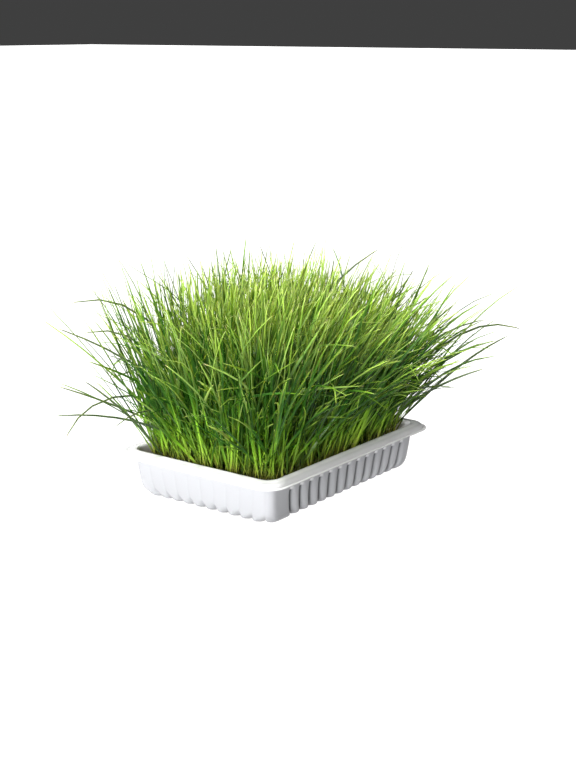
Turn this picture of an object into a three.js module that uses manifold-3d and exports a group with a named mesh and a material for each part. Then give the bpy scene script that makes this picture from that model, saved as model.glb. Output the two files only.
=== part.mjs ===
// A shallow thermoformed tray of potting soil with a lawn of young wheatgrass.
//
// Millimetres, +Z up, +X along the tray's long side. The origin is the middle of the tray's flat
// base, on the surface that it stands on.

import * as THREE from "three";
import { mergeVertices } from "three/addons/utils/BufferGeometryUtils.js";
import Module from "manifold-3d";

const wasm = await Module();
wasm.setup();

// ---------------------------------------------------------------- driving dimensions

const TRAY_LENGTH = 240; // over the lip, along X
const TRAY_WIDTH = 174; // over the lip, along Y
const TRAY_HEIGHT = 40; // base to the top of the rim
const SHEET = 0.9; // thickness of the formed sheet

const RIB_PITCH = 13.5; // from one groove to the next
const RIBS_LONG = 12; // ribs between the grooves of each long wall
const RIBS_SHORT = 10; // and of each short wall, where the last grooves lie on the corners
const RIB_SHIFT = 5; // how far the long wall's ribs are moved along it, from its middle
const RIB_STEPS = 4; // facets across one rib
const RIB_ROUNDNESS = 0.7; // under 1 makes a rib's crest broad and the groove beside it sharp
const CORNER_STEPS = 5; // facets round one plain corner

const SOIL_TOP = 25; // height of the soil under the root mat
const GAP = 0.3; // clearance between pieces that rest on each other

const MAT_THICKNESS = 4; // seeds and matted roots on top of the soil
const MAT_INSET = 17; // mat's side, from the lip's edge
const TUFTS_X = 6; // the lawn's patches along X
const TUFTS_Y = 4; // and along Y
const SITES = 4; // sites for a blade along each side of a patch
const EDGE = 2; // how far inside its patch a blade is rooted

const ROOT_DEPTH = 3; // how far a blade is sunk in the mat
const BLADE_LENGTH = 152; // a typical blade, root to tip
const LIGHT_LEAN = { x: 6, y: -7.5 }; // degrees that the whole lawn leans, along X and Y
const FAN = { x: 20, y: 15.5 }; // degrees that it leans out more at its edges
const UNEVEN = 9; // degrees that blades differ from their neighbours
const BLADE_THICKNESS = 1; // depth of the keel under a blade's two edges
const BLADE_CLEARANCE = 0.35; // gap kept between two blades
const TRIES = 60; // draws for a site before it is left bare
const SEED = 11;

// ---------------------------------------------------------------- small helpers

const radians = THREE.MathUtils.degToRad;
const lerp = THREE.MathUtils.lerp;

// A seeded generator of numbers from 0 to 1, so that the lawn grows the same every time.
function makeRandom(seed) {
  let state = seed;
  return () => {
    state = (state + 0x6d2b79f5) | 0;
    let mixed = Math.imul(state ^ (state >>> 15), 1 | state);
    mixed = (mixed + Math.imul(mixed ^ (mixed >>> 7), 61 | mixed)) ^ mixed;
    return ((mixed ^ (mixed >>> 14)) >>> 0) / 2 ** 32;
  };
}

function geometryOf(points, faces) {
  const positions = new Float32Array(points.flatMap((p) => [p.x, p.y, p.z]));
  const geometry = new THREE.BufferGeometry();
  geometry.setAttribute("position", new THREE.BufferAttribute(positions, 3));
  geometry.setIndex(faces.flat());
  return geometry;
}

// A closed geometry as a solid that can be joined and cut.
function solidOf(geometry) {
  const bare = new THREE.BufferGeometry();
  bare.setAttribute("position", geometry.getAttribute("position"));
  bare.setIndex(geometry.index);
  const merged = mergeVertices(bare, 1e-4);
  const mesh = new wasm.Mesh({
    numProp: 3,
    vertProperties: new Float32Array(merged.attributes.position.array),
    triVerts: new Uint32Array(merged.index.array),
  });
  return new wasm.Manifold(mesh);
}

function geometryOfSolid(solid) {
  const { vertProperties, triVerts } = solid.getMesh();
  const geometry = new THREE.BufferGeometry();
  geometry.setAttribute("position", new THREE.BufferAttribute(vertProperties, 3));
  geometry.setIndex(new THREE.BufferAttribute(triVerts, 1));
  return geometry;
}

function namedMesh(name, geometry, material) {
  geometry.computeVertexNormals();
  const mesh = new THREE.Mesh(geometry, material);
  mesh.name = name;
  return mesh;
}

// ---------------------------------------------------------------- rings of a rounded rectangle

// The four walls in turn: the way that each runs, the way that it faces, and half its length and
// its distance from the middle before a ring's inset is taken off.
const WALLS = [
  { along: [1, 0], out: [0, -1], half: TRAY_LENGTH / 2, reach: TRAY_WIDTH / 2 },
  { along: [0, 1], out: [1, 0], half: TRAY_WIDTH / 2, reach: TRAY_LENGTH / 2 },
  { along: [-1, 0], out: [0, 1], half: TRAY_LENGTH / 2, reach: TRAY_WIDTH / 2 },
  { along: [0, -1], out: [-1, 0], half: TRAY_WIDTH / 2, reach: TRAY_LENGTH / 2 },
];

// A station is a place on every ring: on a wall, at a share of its straight run from -1 to 1, and
// then at an angle round the corner that follows it. `t` runs from 0 to 4 round the whole ring.
const WALL_SHARE = 0.8;
const station = (wall, share, angle, groove = 0) => ({
  wall,
  share,
  angle,
  groove,
  t: wall + (WALL_SHARE * (share + 1)) / 2 + ((1 - WALL_SHARE) * angle) / (Math.PI / 2),
});

const plainStations = WALLS.flatMap((_, wall) =>
  Array.from({ length: CORNER_STEPS + 1 }, (_, i) =>
    station(wall, 1, ((Math.PI / 2) * i) / CORNER_STEPS),
  ),
);

// The ribs' stations are laid out by length along the foot of the walls. One that falls past the
// end of a wall's straight run goes round the corner there.
const FOOT = { inset: 15, corner: 12.6 };
function stationAt(wall, u, groove) {
  const straight = WALLS[wall].half - FOOT.inset - FOOT.corner;
  const past = (Math.abs(u) - straight) / FOOT.corner;
  if (past <= 0) return station(wall, u / straight, 0, groove);
  if (u > 0) return station(wall, 1, past, groove);
  return station((wall + 3) % 4, 1, Math.PI / 2 - past, groove);
}

function ribStations(wall, ribs, shift) {
  const first = shift - (ribs * RIB_PITCH) / 2;
  const steps = Array.from({ length: ribs * RIB_STEPS + 3 }, (_, i) => i - 1);
  return steps.map((i) => {
    const crest = i % RIB_STEPS === 0 ? 0 : Math.abs(Math.sin((Math.PI * i) / RIB_STEPS));
    return stationAt(wall, first + (i * RIB_PITCH) / RIB_STEPS, 1 - crest ** RIB_ROUNDNESS);
  });
}

const cornerStart = TRAY_LENGTH / 2 - FOOT.inset - FOOT.corner;
const ribbedStations = [0, 2]
  .flatMap((wall) => [
    ...ribStations(wall, RIBS_LONG, RIB_SHIFT),
    ...ribStations(wall + 1, RIBS_SHORT, 0),
    ...[-1, 1].map((side) => stationAt(wall, side * cornerStart, 0)),
    ...[-1, 1].map((side) => stationAt(wall, side * (cornerStart + 3.6), 0)),
  ])
  .sort((a, b) => a.t - b.t);

// One level ring of the tray or soil, counter-clockwise seen from above. A groove's depth makes it
// ribbed, and the grooves are sunk in from the plain outline.
function ring({ z, inset, corner, groove }) {
  const stations = groove === undefined ? plainStations : ribbedStations;
  return stations.map((at) => {
    const { along, out, half, reach } = WALLS[at.wall];
    const radius = corner - (groove ?? 0) * at.groove;
    const a = at.share * (half - inset - corner) + radius * Math.sin(at.angle);
    const o = reach - inset - corner + radius * Math.cos(at.angle);
    return { point: new THREE.Vector3(along[0] * a + out[0] * o, along[1] * a + out[1] * o, z), t: at.t };
  });
}

// Joins rings one after another into a closed solid: a cap on the first, a cap on the last, and
// bands of triangles between them. The rings may have different numbers of points.
function stackRings(rings) {
  const points = rings.flatMap((r) => r.map(({ point }) => point));
  const starts = rings.map((_, k) => rings.slice(0, k).reduce((sum, r) => sum + r.length, 0));
  const faces = [];
  const cap = (k, facesUp) => {
    const outline = rings[k].map(({ point }) => new THREE.Vector2(point.x, point.y));
    for (const [a, b, c] of THREE.ShapeUtils.triangulateShape(outline, [])) {
      const [p, q, r] = [a, b, c].map((i) => i + starts[k]);
      faces.push(facesUp ? [p, q, r] : [p, r, q]);
    }
  };
  const band = (k) => {
    const [lower, upper] = [rings[k], rings[k + 1]];
    const at = (list, i) => list[i % list.length].t + (i >= list.length ? WALLS.length : 0);
    const low = (i) => starts[k] + (i % lower.length);
    const high = (j) => starts[k + 1] + (j % upper.length);
    let i = 0;
    let j = 0;
    while (i < lower.length || j < upper.length) {
      const stepLow = j >= upper.length || (i < lower.length && at(lower, i + 1) <= at(upper, j + 1));
      if (stepLow) faces.push([low(i), low(i + 1), high(j)]);
      else faces.push([low(i), high(j + 1), high(j)]);
      if (stepLow) i++;
      else j++;
    }
  };
  cap(0, false);
  for (let k = 0; k + 1 < rings.length; k++) band(k);
  cap(rings.length - 1, true);
  return geometryOf(points, faces);
}

// ---------------------------------------------------------------- tray

// The formed sheet's section. Insets are measured in from the edge of the lip. The walls lean out a
// little as they rise; the grooves between the ribs start under the rim and deepen down to the foot.
function trayGeometry() {
  const top = TRAY_HEIGHT;
  const outside = [
    { z: 0, inset: 17.8, corner: 13.5, groove: 4.6 },
    { z: 1.2, inset: 15.8, corner: 13, groove: 4.3 },
    { z: 4, inset: 15, corner: 12.6, groove: 4 },
    { z: 10, inset: 14.5, corner: 12.4, groove: 3.5 },
    { z: top - 11, inset: 12.9, corner: 11.6, groove: 2 },
    { z: top - 9.2, inset: 12.7, corner: 11.5, groove: 1.1 },
    { z: top - 8.2, inset: 12.6, corner: 11.4, groove: 0 },
  ];
  const underRim = [
    { z: top - 2.4, inset: 12.1, corner: 11.2 },
    { z: top - SHEET, inset: 11, corner: 11.6 },
    { z: top - SHEET, inset: 5.9, corner: 14.5 },
    { z: top - 1.6, inset: 5.1, corner: 15 },
    { z: top - 3.6 - SHEET, inset: 3.7, corner: 16 },
    { z: top - 3.8 - SHEET, inset: 3, corner: 16.5 },
    { z: top - 3.8 - SHEET, inset: 0, corner: 18 },
  ];
  const overRim = [
    { z: top - 3.8, inset: 0, corner: 18 },
    { z: top - 3.8, inset: 2.4, corner: 16.9 },
    { z: top - 3.4, inset: 2.9, corner: 16.6 },
    { z: top - 0.8, inset: 4.4, corner: 15.6 },
    { z: top, inset: 5.2, corner: 15.2 },
    { z: top, inset: 11.4, corner: 12.2 },
    { z: top - 1, inset: 12.6, corner: 11 },
  ];
  const inside = [
    { z: top - 8.2, inset: 13.5, corner: 10.6, groove: 0 },
    { z: top - 11, inset: 13.8, corner: 10.7, groove: 2 },
    { z: 5, inset: 15.9, corner: 11.8, groove: 4 },
    { z: SHEET, inset: 18.4, corner: 12.9, groove: 4.6 },
  ];
  return stackRings([...outside, ...underRim, ...overRim, ...inside].map(ring));
}

// ---------------------------------------------------------------- soil

// The soil fills the tray between its grooves, so its sides follow their slope.
function soilGeometry() {
  return stackRings(
    [
      { z: SHEET + GAP, inset: 23.6, corner: 8 },
      { z: 5 + GAP, inset: 20.4, corner: 8 },
      { z: SOIL_TOP, inset: 17.1, corner: 8 },
    ].map(ring),
  );
}

// ---------------------------------------------------------------- blades

const HALF_X = TRAY_LENGTH / 2 - MAT_INSET;
const HALF_Y = TRAY_WIDTH / 2 - MAT_INSET;
const MAT_BOTTOM = SOIL_TOP + GAP;
const MAT_TOP = MAT_BOTTOM + MAT_THICKNESS;

// Where a blade's section is drawn, from root to tip, and how wide it is there: a narrow sheath,
// then the broad leaf, then a long point.
const BLADE_STATIONS = [0, 0.27, 0.56, 0.82, 1];
const BLADE_WIDTHS = [0.58, 1, 0.92, 0.55, 0];

// The line of a blade. It starts at its root with one lean from upright and ends with another, and
// the lean grows along it as s ** curl. Its heading is the way that it leans, seen from above.
function bladeLine({ x, y, heading, lean, droop, curl, sway, length }) {
  const point = new THREE.Vector3(x, y, MAT_TOP - ROOT_DEPTH);
  const line = [];
  const SUBSTEPS = 6;
  let previous = 0;
  for (const station of BLADE_STATIONS) {
    for (let i = 0; i < SUBSTEPS; i++) {
      const s = lerp(previous, station, (i + 0.5) / SUBSTEPS);
      const tilt = radians(lean + (droop - lean) * s ** curl);
      const turn = radians(heading + sway * s);
      const step = ((station - previous) / SUBSTEPS) * length;
      point.x += step * Math.sin(tilt) * Math.cos(turn);
      point.y += step * Math.sin(tilt) * Math.sin(turn);
      point.z += step * Math.cos(tilt);
    }
    const tilt = radians(lean + (droop - lean) * station ** curl);
    const turn = radians(heading + sway * station);
    line.push({ point: point.clone(), tilt, turn });
    previous = station;
  }
  return line;
}

// A three-sided blade: two thin edges and a keel below the middle, narrowing to a point.
function bladeSolid(blade) {
  const line = bladeLine(blade);
  const points = [];
  const faces = [[0, 2, 1]];
  line.forEach(({ point, tilt, turn }, k) => {
    if (k === line.length - 1) {
      points.push(point);
      return;
    }
    const forward = new THREE.Vector3(
      Math.sin(tilt) * Math.cos(turn),
      Math.sin(tilt) * Math.sin(turn),
      Math.cos(tilt),
    );
    const twist = radians(blade.roll + blade.twist * BLADE_STATIONS[k]);
    const across = new THREE.Vector3(-Math.sin(turn), Math.cos(turn), 0).applyAxisAngle(forward, twist);
    const under = new THREE.Vector3().crossVectors(forward, across);
    const half = (blade.width * BLADE_WIDTHS[k]) / 2;
    const depth = Math.max(0.7, BLADE_WIDTHS[k]) * BLADE_THICKNESS;
    points.push(
      point.clone().addScaledVector(across, -half),
      point.clone().addScaledVector(across, half),
      point.clone().addScaledVector(under, depth),
    );
  });
  for (let k = 0; k + 2 < line.length; k++) {
    for (let side = 0; side < 3; side++) {
      const [a, b] = [3 * k + side, 3 * k + ((side + 1) % 3)];
      faces.push([a, b, b + 3], [a, b + 3, a + 3]);
    }
  }
  const last = 3 * (line.length - 2);
  const tip = points.length - 1;
  for (let side = 0; side < 3; side++) faces.push([last + side, last + ((side + 1) % 3), tip]);
  return solidOf(geometryOf(points, faces));
}

// The shortest distance between two straight pieces, p to p + u and q to q + v.
function gapBetween(p, u, q, v) {
  const w = new THREE.Vector3().subVectors(p, q);
  const [a, b, c] = [u.dot(u), u.dot(v), v.dot(v)];
  const [d, e] = [u.dot(w), v.dot(w)];
  const determinant = a * c - b * b;
  const clamp = (value) => Math.min(1, Math.max(0, value));
  let s = determinant > 1e-9 ? clamp((b * e - c * d) / determinant) : 0;
  const t = clamp((b * s + e) / c);
  s = clamp((b * t - d) / a);
  return w.addScaledVector(u, s).addScaledVector(v, -t).length();
}

// A blade's line as straight pieces, each with half the blade's width there.
function reachOf(blade) {
  const line = bladeLine(blade);
  const pieces = [];
  for (let k = 0; k + 1 < line.length; k++) {
    const from = line[k].point;
    const step = new THREE.Vector3().subVectors(line[k + 1].point, from);
    const half = (blade.width * Math.max(BLADE_WIDTHS[k], BLADE_WIDTHS[k + 1])) / 2;
    pieces.push({ from, step, half });
  }
  const box = new THREE.Box3().setFromPoints(line.map(({ point }) => point));
  return { pieces, box: box.expandByScalar(blade.width) };
}

function touches(one, other) {
  if (!one.box.intersectsBox(other.box)) return false;
  return one.pieces.some((a) =>
    other.pieces.some(
      (b) => gapBetween(a.from, a.step, b.from, b.step) < a.half + b.half + BLADE_CLEARANCE,
    ),
  );
}

// How far a line's lowest clearance over the rim is: a blade that leans out has to rise past it.
const RIM_CLEARANCE = 1.6;
function hitsRim(reach) {
  return reach.pieces.some(({ from, step, half }) =>
    [0, 0.25, 0.5, 0.75, 1].some((share) => {
      const at = from.clone().addScaledVector(step, share);
      const insetX = TRAY_LENGTH / 2 - Math.abs(at.x);
      const insetY = TRAY_WIDTH / 2 - Math.abs(at.y);
      const inset = Math.min(insetX, insetY);
      return inset < 14.5 + half && at.z < TRAY_HEIGHT + RIM_CLEARANCE;
    }),
  );
}

// ---------------------------------------------------------------- the lawn's rule

// The lawn fans out over all four sides of the tray, and as a whole it leans toward the light.
function drawBlade(x, y, random) {
  const spread = () => random() + random() + random() - 1.5;
  const tiltX = LIGHT_LEAN.x + FAN.x * (x / HALF_X) + UNEVEN * spread();
  const tiltY = LIGHT_LEAN.y + FAN.y * (y / HALF_Y) + UNEVEN * spread();
  const tilt = Math.hypot(tiltX, tiltY);
  return {
    x,
    y,
    heading: THREE.MathUtils.radToDeg(Math.atan2(tiltY, tiltX)),
    lean: 0.65 * tilt,
    droop: 1.55 * tilt + 42 * random() ** 2,
    curl: 1.4 + 1.2 * random(),
    sway: 36 * spread(),
    roll: 40 * spread(),
    twist: 60 * spread(),
    length: BLADE_LENGTH + 20 * spread(),
    width: 3 + 0.5 * spread(),
  };
}

// Long blades that have bent over and hang well outside the tray. They are placed before the
// lawn, which then grows round them. Each leaves its root at `lean` and ends at `droop`.
const STRAYS = [
  { x: -62, y: 62, heading: 149, lean: 0, droop: 113, curl: 2.2, length: 198 },
  { x: -60, y: 42, heading: 142, lean: 14, droop: 68, curl: 0.8, length: 174 },
  { x: -70, y: 50, heading: 148, lean: 33, droop: 73, curl: 0.8, length: 132 },
  { x: -78, y: 56, heading: 170, lean: 0, droop: 150, curl: 1.1, length: 156 },
  { x: 99, y: -46, heading: -39, lean: 25, droop: 117, curl: 1.9, length: 181 },
  { x: 95, y: -52, heading: -48, lean: 42, droop: 65, curl: 1.9, length: 144 },
  { x: 88, y: -58, heading: -61, lean: 24, droop: 73, curl: 0.8, length: 114 },
  { x: 60, y: 33, heading: -54, lean: 0, droop: 61, curl: 1.4, length: 196 },
];
const STRAY_FORM = { sway: 0, roll: 0, twist: 20, width: 2.8 };
const STRAY_SHIFT = 12; // how far a stray's root may be moved to miss the others

function makePatches() {
  const size = new THREE.Vector2((2 * HALF_X) / TUFTS_X, (2 * HALF_Y) / TUFTS_Y);
  const patches = [];
  for (let row = 0; row < TUFTS_Y; row++) {
    for (let column = 0; column < TUFTS_X; column++) {
      const low = new THREE.Vector2(column * size.x - HALF_X, row * size.y - HALF_Y);
      patches.push({ low, high: low.clone().add(size), blades: [] });
    }
  }
  return patches;
}

// Draws blades for a patch until one stands clear of the rim and of every blade grown so far.
function settle(patch, grown, draw) {
  for (let attempt = 0; attempt < TRIES; attempt++) {
    const blade = draw();
    const reach = reachOf(blade);
    if (hitsRim(reach) || grown.some((other) => touches(reach, other))) continue;
    grown.push(reach);
    patch.blades.push(blade);
    return;
  }
}

function growLawn() {
  const random = makeRandom(SEED);
  const grown = [];
  const patches = makePatches();
  const within = (value, low, high) => Math.min(high - EDGE, Math.max(low + EDGE, value));
  for (const stray of STRAYS) {
    const home = new THREE.Vector2(stray.x, stray.y);
    const patch = patches.find(({ low, high }) => new THREE.Box2(low, high).containsPoint(home));
    settle(patch, grown, () => ({
      ...STRAY_FORM,
      ...stray,
      x: within(stray.x + STRAY_SHIFT * (random() - 0.5), patch.low.x, patch.high.x),
      y: within(stray.y + STRAY_SHIFT * (random() - 0.5), patch.low.y, patch.high.y),
    }));
  }
  for (let i = 0; i < SITES * SITES; i++) {
    for (const patch of patches) {
      const { low, high } = patch;
      const siteX = ((i % SITES) + 0.15) / SITES;
      const siteY = (Math.floor(i / SITES) + 0.15) / SITES;
      settle(patch, grown, () => {
        const x = lerp(low.x + EDGE, high.x - EDGE, siteX + (0.7 * random()) / SITES);
        const y = lerp(low.y + EDGE, high.y - EDGE, siteY + (0.7 * random()) / SITES);
        return drawBlade(x, y, random);
      });
    }
  }
  return patches;
}

// One patch of the lawn: its piece of the mat of seeds and roots, with its blades fused to it.
function tuftSolid({ low, high, blades }, mat) {
  const size = new THREE.Vector3(high.x - low.x - GAP, high.y - low.y - GAP, MAT_THICKNESS * 2);
  const box = new THREE.BoxGeometry(size.x, size.y, size.z);
  box.translate((low.x + high.x) / 2, (low.y + high.y) / 2, (MAT_BOTTOM + MAT_TOP) / 2);
  let tuft = mat.intersect(solidOf(box));
  for (const blade of blades) tuft = tuft.add(bladeSolid(blade));
  return tuft;
}

// ---------------------------------------------------------------- the part

const whitePlastic = new THREE.MeshStandardMaterial({ color: 0xf1f2f4, roughness: 0.35, metalness: 0 });
const darkSoil = new THREE.MeshStandardMaterial({ color: 0x3a2a1c, roughness: 0.95, metalness: 0 });
const greenLeaf = new THREE.MeshStandardMaterial({ color: 0x5f9e1f, roughness: 0.5, metalness: 0 });

const part = new THREE.Group();
part.add(namedMesh("tray", trayGeometry(), whitePlastic));
part.add(namedMesh("soil", soilGeometry(), darkSoil));

const mat = solidOf(
  stackRings(
    [
      { z: MAT_BOTTOM, inset: MAT_INSET, corner: 9 },
      { z: MAT_TOP, inset: MAT_INSET, corner: 9 },
    ].map(ring),
  ),
);
growLawn().forEach((patch, i) => {
  const name = `grass_tuft_${String(i + 1).padStart(2, "0")}`;
  part.add(namedMesh(name, geometryOfSolid(tuftSolid(patch, mat)), greenLeaf));
});

export default part;
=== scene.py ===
# %% [markdown]
# # A tray of wheatgrass
#
# The object is a shallow white tray, formed from one thin plastic sheet and filled with potting
# soil. Wheat grains were sown close together on the soil, and their blades have grown into a dense
# lawn about four times as tall as the tray. The solids of the frame give the tray, the soil and 24
# tufts of coarse blades. This script puts finer pieces in their places.

# %% Load the frame
import math

import bmesh
import bpy
import numpy as np
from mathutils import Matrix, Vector


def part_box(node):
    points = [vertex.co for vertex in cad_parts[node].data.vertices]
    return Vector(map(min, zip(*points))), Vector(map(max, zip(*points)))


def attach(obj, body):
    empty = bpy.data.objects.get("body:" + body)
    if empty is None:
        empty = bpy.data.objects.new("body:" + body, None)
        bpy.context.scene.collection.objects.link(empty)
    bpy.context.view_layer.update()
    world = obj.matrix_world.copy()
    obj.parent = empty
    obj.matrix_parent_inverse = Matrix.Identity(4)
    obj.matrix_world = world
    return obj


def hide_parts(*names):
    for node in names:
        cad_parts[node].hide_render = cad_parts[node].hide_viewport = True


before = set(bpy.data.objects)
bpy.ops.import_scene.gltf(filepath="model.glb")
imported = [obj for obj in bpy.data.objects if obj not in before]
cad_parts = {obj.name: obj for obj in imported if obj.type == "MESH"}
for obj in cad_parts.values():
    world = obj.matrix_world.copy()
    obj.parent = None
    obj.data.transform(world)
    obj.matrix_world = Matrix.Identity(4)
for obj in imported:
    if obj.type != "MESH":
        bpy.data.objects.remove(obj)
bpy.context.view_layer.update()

# %% [markdown]
# ## Tools for the hand
#
# Blender's operators act on whatever is active and selected. A few small helpers keep that in
# order: one starts a piece, one takes it up again, one selects its vertices, edges or faces by
# their place, and one ends edit mode. Lengths are written in millimetres, as a maker would, and
# multiplied by MM.

# %% Helpers for pieces
MM = 0.001
MILLILITRES = 1e6  # in a cubic metre


def clear_selection():
    for thing in bpy.context.selected_objects:
        thing.select_set(False)


def start_piece(name, add, **options):
    """Adds a primitive by one of Blender's operators and leaves it active, in object mode."""
    clear_selection()
    add(**options)
    piece = bpy.context.object
    piece.name = name
    piece.data.name = name
    return piece


def take(piece):
    """Makes a piece the only one that is selected, and the active one."""
    clear_selection()
    piece.select_set(True)
    bpy.context.view_layer.objects.active = piece


def edit(piece):
    take(piece)
    bpy.ops.object.mode_set(mode="EDIT")


def stop_editing():
    bpy.ops.object.mode_set(mode="OBJECT")


def pick(piece, mode, wanted):
    """In edit mode, selects the vertices, edges or faces for which wanted(element) is true."""
    bpy.ops.mesh.select_mode(type=mode)
    shape = bmesh.from_edit_mesh(piece.data)
    bpy.ops.mesh.select_all(action="DESELECT")
    for element in {"VERT": shape.verts, "EDGE": shape.edges, "FACE": shape.faces}[mode]:
        element.select_set(wanted(element))
    shape.select_flush_mode()
    bmesh.update_edit_mesh(piece.data)


def add_modifier(piece, kind, **settings):
    """Adds a modifier and applies it at once."""
    take(piece)
    made = piece.modifiers.new(kind.lower(), kind)
    for name, value in settings.items():
        setattr(made, name, value)
    bpy.ops.object.modifier_apply(modifier=made.name)


def settle(piece):
    """Puts a piece's place, turn and size into its mesh."""
    take(piece)
    bpy.ops.object.transform_apply(location=True, rotation=True, scale=True)


def smooth(piece, degrees):
    """Shades a piece smooth, but keeps edges sharp where its faces turn by more than degrees."""
    take(piece)
    bpy.ops.object.shade_smooth_by_angle(angle=math.radians(degrees))


def places(mesh):
    """The places of a mesh's vertices, as vertices x 3, in metres."""
    found = np.empty(len(mesh.vertices) * 3)
    mesh.vertices.foreach_get("co", found)
    return found.reshape(-1, 3)


def triangles(mesh):
    return sum(len(face.vertices) - 2 for face in mesh.polygons)


def volume(mesh):
    """The volume that a closed mesh holds, in millilitres, negative if its faces point inwards."""
    mesh.calc_loop_triangles()
    corners = np.empty(len(mesh.loop_triangles) * 3, np.int64)
    mesh.loop_triangles.foreach_get("vertices", corners)
    a, b, c = places(mesh)[corners.reshape(-1, 3)].transpose(1, 0, 2)
    return np.einsum("ij,ij->i", a, np.cross(b, c)).sum() / 6 * MILLILITRES


def note(mesh, name, values):
    """Stores a number for each vertex, for a finish to read."""
    mesh.attributes.new(name, "FLOAT", "POINT").data.foreach_set("value", values)


def report(piece):
    size = (np.ptp(places(piece.data), axis=0) / MM).round(1)
    held = volume(piece.data)
    print(f"{piece.name}: {triangles(piece.data)} triangles, {held:.1f} ml, size", size)


# %% [markdown]
# ## Nodes as sums
#
# A shader is easier to read as arithmetic than as a web of links. A Wire holds one output socket.
# Python's signs on it add Math nodes, so `1 - wet * 0.3` is a chain of two. Every node comes from
# Finish.node, which takes its type, its settings and what goes into its sockets, and the finishes'
# usual steps have names of their own.


# %% Wires and finishes
class Wire:
    """One output socket of a finish, on which Python's signs work."""

    def __init__(self, finish, socket):
        self.finish, self.socket = finish, socket

    def math(self, operation, *others):
        return self.finish.math(operation, self, *others)

    def __add__(self, other):
        return self.math("ADD", other)

    def __sub__(self, other):
        return self.math("SUBTRACT", other)

    def __rsub__(self, other):
        return self.finish.math("SUBTRACT", other, self)

    def __mul__(self, other):
        return self.math("MULTIPLY", other)

    __radd__ = __add__
    __rmul__ = __mul__


class Finish:
    """A material that is built node by node."""

    def __init__(self, name):
        self.material = bpy.data.materials.new(name)
        self.material.use_nodes = True
        self.tree = self.material.node_tree
        self.tree.nodes.clear()

    def node(self, kind, settings=None, sockets=None, output=0):
        made = self.tree.nodes.new(kind)
        for name, value in (settings or {}).items():
            if name == "stops":
                while len(made.color_ramp.elements) < len(value):
                    made.color_ramp.elements.new(0.5)
                for stop, (place, colour) in zip(made.color_ramp.elements, value):
                    stop.position, stop.color = place, (*colour, 1)
            else:
                setattr(made, name, value)
        for name, value in (sockets or {}).items():
            if isinstance(value, Wire):
                self.tree.links.new(value.socket, made.inputs[name])
            else:
                made.inputs[name].default_value = value
        return Wire(self, made.outputs[output]) if made.outputs else None

    def math(self, operation, *values):
        return self.node("ShaderNodeMath", {"operation": operation}, dict(enumerate(values)))

    def mix(self, share, under, over):
        """A share of the colour `over` on the colour `under`."""
        colours = {6: under, 7: over}
        for socket, colour in colours.items():
            if isinstance(colour, tuple):
                colours[socket] = (*colour, 1)
        kind = {"data_type": "RGBA", "clamp_result": True}
        return self.node("ShaderNodeMix", kind, {0: share, **colours}, output=2)

    def spread(self, value, low, high, to_low=0.0, to_high=1.0):
        """A value from low to high, spread over to_low to to_high and held there."""
        sockets = {"Value": value, 1: low, 2: high, 3: to_low, 4: to_high}
        return self.node("ShaderNodeMapRange", {"clamp": True}, sockets)

    def noise(self, where, scale, detail):
        sockets = {"Vector": where, "Scale": scale, "Detail": detail}
        return self.node("ShaderNodeTexNoise", {}, sockets)

    def place(self):
        """Where a point is on its piece, in metres."""
        return self.node("ShaderNodeTexCoord", output="Object")

    def axis(self, vector, name):
        """One part of a vector: X, Y or Z."""
        return self.node("ShaderNodeSeparateXYZ", {}, {0: vector}, output=name)

    def noted(self, name):
        """A number that is stored on the mesh."""
        return self.node("ShaderNodeAttribute", {"attribute_name": name}, output="Fac")

    def bump(self, strength, distance, height):
        sockets = {"Strength": strength, "Distance": distance, "Height": height}
        return self.node("ShaderNodeBump", {}, sockets)

    def show(self, sockets):
        """Ends the finish with a Principled BSDF of these sockets."""
        skin = self.node("ShaderNodeBsdfPrincipled", {}, sockets)
        self.node("ShaderNodeOutputMaterial", {}, {"Surface": skin})


# %% [markdown]
# ## The tray's shape
#
# A tray like this is thermoformed: a warm sheet is drawn over a mould, so its wall has one
# thickness, every bend is soft, and flutes pressed into the walls keep the thin sheet stiff.
# Extruding and bevelling could make a plain tray, but not flutes that start narrow under the rim
# and grow deeper towards the foot. So the mesh is made as the real one is: a flat grid is the
# sheet, a section gives the mould's outline at each height, and each vertex is drawn to its place
# on it.

# %% Section of the mould
TRAY_LENGTH, TRAY_WIDTH = 240, 174
SHEET = 0.9  # thickness of the plastic

# From the middle of the floor to the edge of the lip: height, inset from the lip's edge, radius of
# the corner, and depth of the grooves. On the flat of the foot, inset and radius add up to the same
# in every grooved row, or the sheet would fold over itself there.
SECTION = [
    (0.0, 46.0, 2.0, 0.0),
    (0.0, 28.0, 2.4, 1.2),
    (0.0, 21.8, 8.6, 5.8),
    (0.3, 19.4, 11.0, 7.2),
    (1.3, 17.3, 12.8, 7.2),
    (3.2, 15.9, 12.4, 6.7),
    (6.0, 15.1, 10.8, 5.9),
    (10.0, 14.6, 9.6, 5.4),
    (20.0, 13.7, 8.4, 4.4),
    (24.0, 13.3, 8.4, 3.9),
    (26.6, 13.1, 8.4, 2.7),
    (28.4, 13.0, 8.4, 0.0),
    (33.0, 12.6, 8.6, 0.0),
    (37.6, 12.3, 10.0, 0.0),
    (39.3, 12.0, 11.2, 0.0),
    (39.5, 10.8, 11.8, 0.0),
    (39.3, 7.8, 13.4, 0.0),
    (38.8, 5.0, 15.0, 0.0),
    (37.9, 3.6, 15.9, 0.0),
    (36.2, 2.8, 16.4, 0.0),
    (35.4, 2.2, 16.9, 0.0),
    (35.3, 0.0, 18.0, 0.0),
]


def soften(rows):
    """Cuts each bend of a section into two, a quarter of the way along the pieces beside it."""
    a, b = rows[:-1], rows[1:]
    cut = np.stack([0.75 * a + 0.25 * b, 0.25 * a + 0.75 * b], axis=1).reshape(-1, rows.shape[1])
    return np.vstack([rows[:1], cut[1:-1], rows[-1:]])


section = soften(np.array(SECTION))
print("section:", len(section), "heights")

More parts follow.
